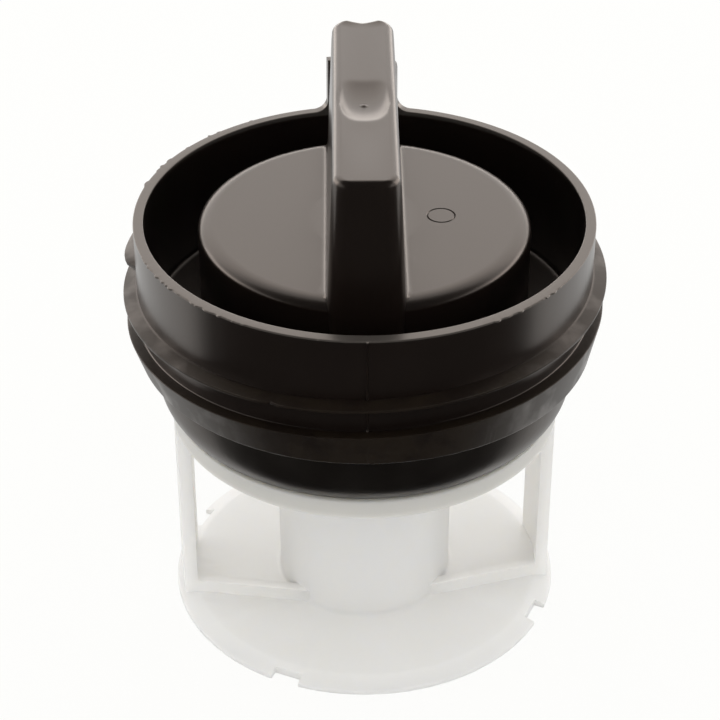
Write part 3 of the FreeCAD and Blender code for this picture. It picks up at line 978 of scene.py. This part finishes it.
finishes.append((basket, milky_plastic()))
for piece, finish in finishes:
    piece.data.materials.clear()
    piece.data.materials.append(finish)
    print(piece.name, "is finished in", finish.name)

# %% [markdown]
# A plain white studio. The floor glows white where the camera or a reflection sees it, and only a small
# share of what is seen there is real light, which keeps a soft shadow. Light that the floor sends up to
# the part is all real.

# %% Floor
FLOOR_GLOW = 0.93


def sheet(name, corners):
    """A flat sheet with the given corners, in metres."""
    mesh = bpy.data.meshes.new(name)
    mesh.from_pydata(corners, [], [tuple(range(len(corners)))])
    thing = bpy.data.objects.new(name, mesh)
    bpy.context.collection.objects.link(thing)
    return thing


def seen_directly(tree):
    """1 for rays from the camera, from gloss and through clear matter, else 0."""
    path = tree.nodes.new("ShaderNodeLightPath")
    first = tree.nodes.new("ShaderNodeMath")
    first.operation = "MAXIMUM"
    second = tree.nodes.new("ShaderNodeMath")
    second.operation = "MAXIMUM"
    tree.links.new(path.outputs["Is Camera Ray"], first.inputs[0])
    tree.links.new(path.outputs["Is Glossy Ray"], first.inputs[1])
    tree.links.new(first.outputs[0], second.inputs[0])
    tree.links.new(path.outputs["Is Transmission Ray"], second.inputs[1])
    return second.outputs[0]


floor = sheet("floor", [(-3, -3, 0), (3, -3, 0), (3, 3, 0), (-3, 3, 0)])
floor_material, floor_tree, floor_shader = new_material("pale_floor")
floor_shader.inputs["Base Color"].default_value = grey(0.93)
floor_shader.inputs["Roughness"].default_value = 0.9
glow = floor_tree.nodes.new("ShaderNodeEmission")
glow.inputs["Color"].default_value = (0.99, 0.99, 0.975, 1)
mix = floor_tree.nodes.new("ShaderNodeMixShader")
share = floor_tree.nodes.new("ShaderNodeMath")
share.operation = "MULTIPLY"
share.inputs[1].default_value = FLOOR_GLOW
floor_tree.links.new(seen_directly(floor_tree), share.inputs[0])
floor_tree.links.new(share.outputs[0], mix.inputs["Fac"])
floor_tree.links.new(floor_shader.outputs[0], mix.inputs[1])
floor_tree.links.new(glow.outputs[0], mix.inputs[2])
floor_tree.links.new(mix.outputs[0], floor_tree.nodes["Material Output"].inputs["Surface"])
floor.data.materials.append(floor_material)
print("floor:", FLOOR_GLOW, "of what is seen is glow")

# %% [markdown]
# A black part needs something dark to reflect, or its front turns grey. So a dark card lies on the floor
# in front of it, cut round the basket's foot, and a dark flag hangs over the camera's side. Neither is
# seen by the camera or casts a shadow.

# %% Dark card and dark flag
CARD_EDGE = -0.022
CARD_BITE = 0.0285
CARD_LIFT = 0.0003
BITE_STEPS = 24
bite = math.asin(-CARD_EDGE / CARD_BITE)
bite_angles = [-bite - (math.pi - 2 * bite) * i / BITE_STEPS for i in range(BITE_STEPS + 1)]
card_corners = [(-0.6, CARD_EDGE), (-0.6, -1.2), (0.6, -1.2), (0.6, CARD_EDGE)]
card_corners += [(CARD_BITE * math.cos(a), CARD_BITE * math.sin(a)) for a in bite_angles]
card = sheet("dark_card", [(x, y, CARD_LIFT) for x, y in card_corners])
flag = sheet("dark_flag", [(-0.9, 0.2, 0.8), (0.9, 0.2, 0.8), (0.9, -1.2, 0.0), (-0.9, -1.2, 0.0)])
dark, _, dark_shader = new_material("dark_cloth")
dark_shader.inputs["Base Color"].default_value = grey(0.01)
dark_shader.inputs["Roughness"].default_value = 1.0
for cloth in (card, flag):
    cloth.data.materials.append(dark)
    cloth.visible_camera = False
    cloth.visible_shadow = False
    cloth.visible_diffuse = False
    print(cloth.name, "is hidden from the camera")

# %% [markdown]
# The sky is an even white. One strength is what the camera and reflections see, just under full white,
# and the other is what lights the part, a little stronger so that the milky basket stays bright.

# %% Sky
world = bpy.data.worlds.new("studio")
bpy.context.scene.world = world
world.use_nodes = True
sky = world.node_tree.nodes["Background"]
sky_level = world.node_tree.nodes.new("ShaderNodeMapRange")
sky_level.inputs["To Min"].default_value = 1.15
sky_level.inputs["To Max"].default_value = 0.99
world.node_tree.links.new(seen_directly(world.node_tree), sky_level.inputs["Value"])
world.node_tree.links.new(sky_level.outputs["Result"], sky.inputs["Strength"])
sky.inputs["Color"].default_value = (1.0, 0.995, 0.98, 1)
print("sky:", round(sky_level.inputs["To Min"].default_value, 2), "to light with")

# %% [markdown]
# Soft boxes stand behind and to both sides. Their reflections are what shows on the black plastic: one
# wide sheen over the island and the grip's top, and two that climb the collar's sides.

# %% Soft boxes


def soft_box(name, place, aim, size, watts, colour):
    """An area lamp that looks at a point and shows in reflections only."""
    data = bpy.data.lights.new(name, "AREA")
    data.shape = "RECTANGLE"
    data.size, data.size_y = size
    data.energy = watts
    data.color = colour
    lamp = bpy.data.objects.new(name, data)
    lamp.location = place
    lamp.rotation_euler = (Vector(aim) - Vector(place)).to_track_quat("-Z", "Y").to_euler()
    lamp.visible_camera = False
    lamp.visible_diffuse = False
    bpy.context.collection.objects.link(lamp)
    print(name, "gives", watts, "W")


WARM = (1.0, 0.91, 0.84)
soft_box("low_back_panel", (0, 0.9, 0.15), (0, 0, 0.15), (2.6, 0.3), 5.8, WARM)
soft_box("high_back_panel", (0, 0.9, 0.9), (0, 0, 0.9), (2.6, 0.9), 6.4, WARM)
soft_box("left_panel", (-0.9, 0.3, 0.25), (0, 0, 0.1), (0.7, 0.5), 2.5, WARM)
soft_box("right_panel", (0.9, 0.3, 0.25), (0, 0, 0.1), (0.7, 0.5), 2.4, WARM)

# %% [markdown]
# The camera stands where the photograph was taken from, which was fitted to the circles of the rim, the
# seal and the base. The lens follows from the focal length in pixels, and the sideways shift from where
# the part's axis stands in the picture.

# %% Camera
CAMERA_DISTANCE = 0.2495
CAMERA_HEIGHT = 0.2055
CAMERA_PITCH = math.radians(33.95)
CAMERA_TURN = math.radians(0.68)
FOCAL_PIXELS = 2143.0
FRAME_PIXELS = 720.0
AXIS_OFFSET_PIXELS = 4.5
camera_data = bpy.data.cameras.new("camera")
camera_data.sensor_width = 36.0
camera_data.lens = FOCAL_PIXELS / FRAME_PIXELS * camera_data.sensor_width
camera_data.shift_x = -AXIS_OFFSET_PIXELS / FRAME_PIXELS
camera = bpy.data.objects.new("camera", camera_data)
camera.location = (-CAMERA_DISTANCE * math.sin(CAMERA_TURN),
                   -CAMERA_DISTANCE * math.cos(CAMERA_TURN),
                   CAMERA_HEIGHT)
camera.rotation_euler = (math.pi / 2 - CAMERA_PITCH, 0, -CAMERA_TURN)
bpy.context.collection.objects.link(camera)
bpy.context.scene.camera = camera
bpy.context.scene.view_settings.view_transform = "Standard"
print("lens:", round(camera_data.lens, 1), "mm")
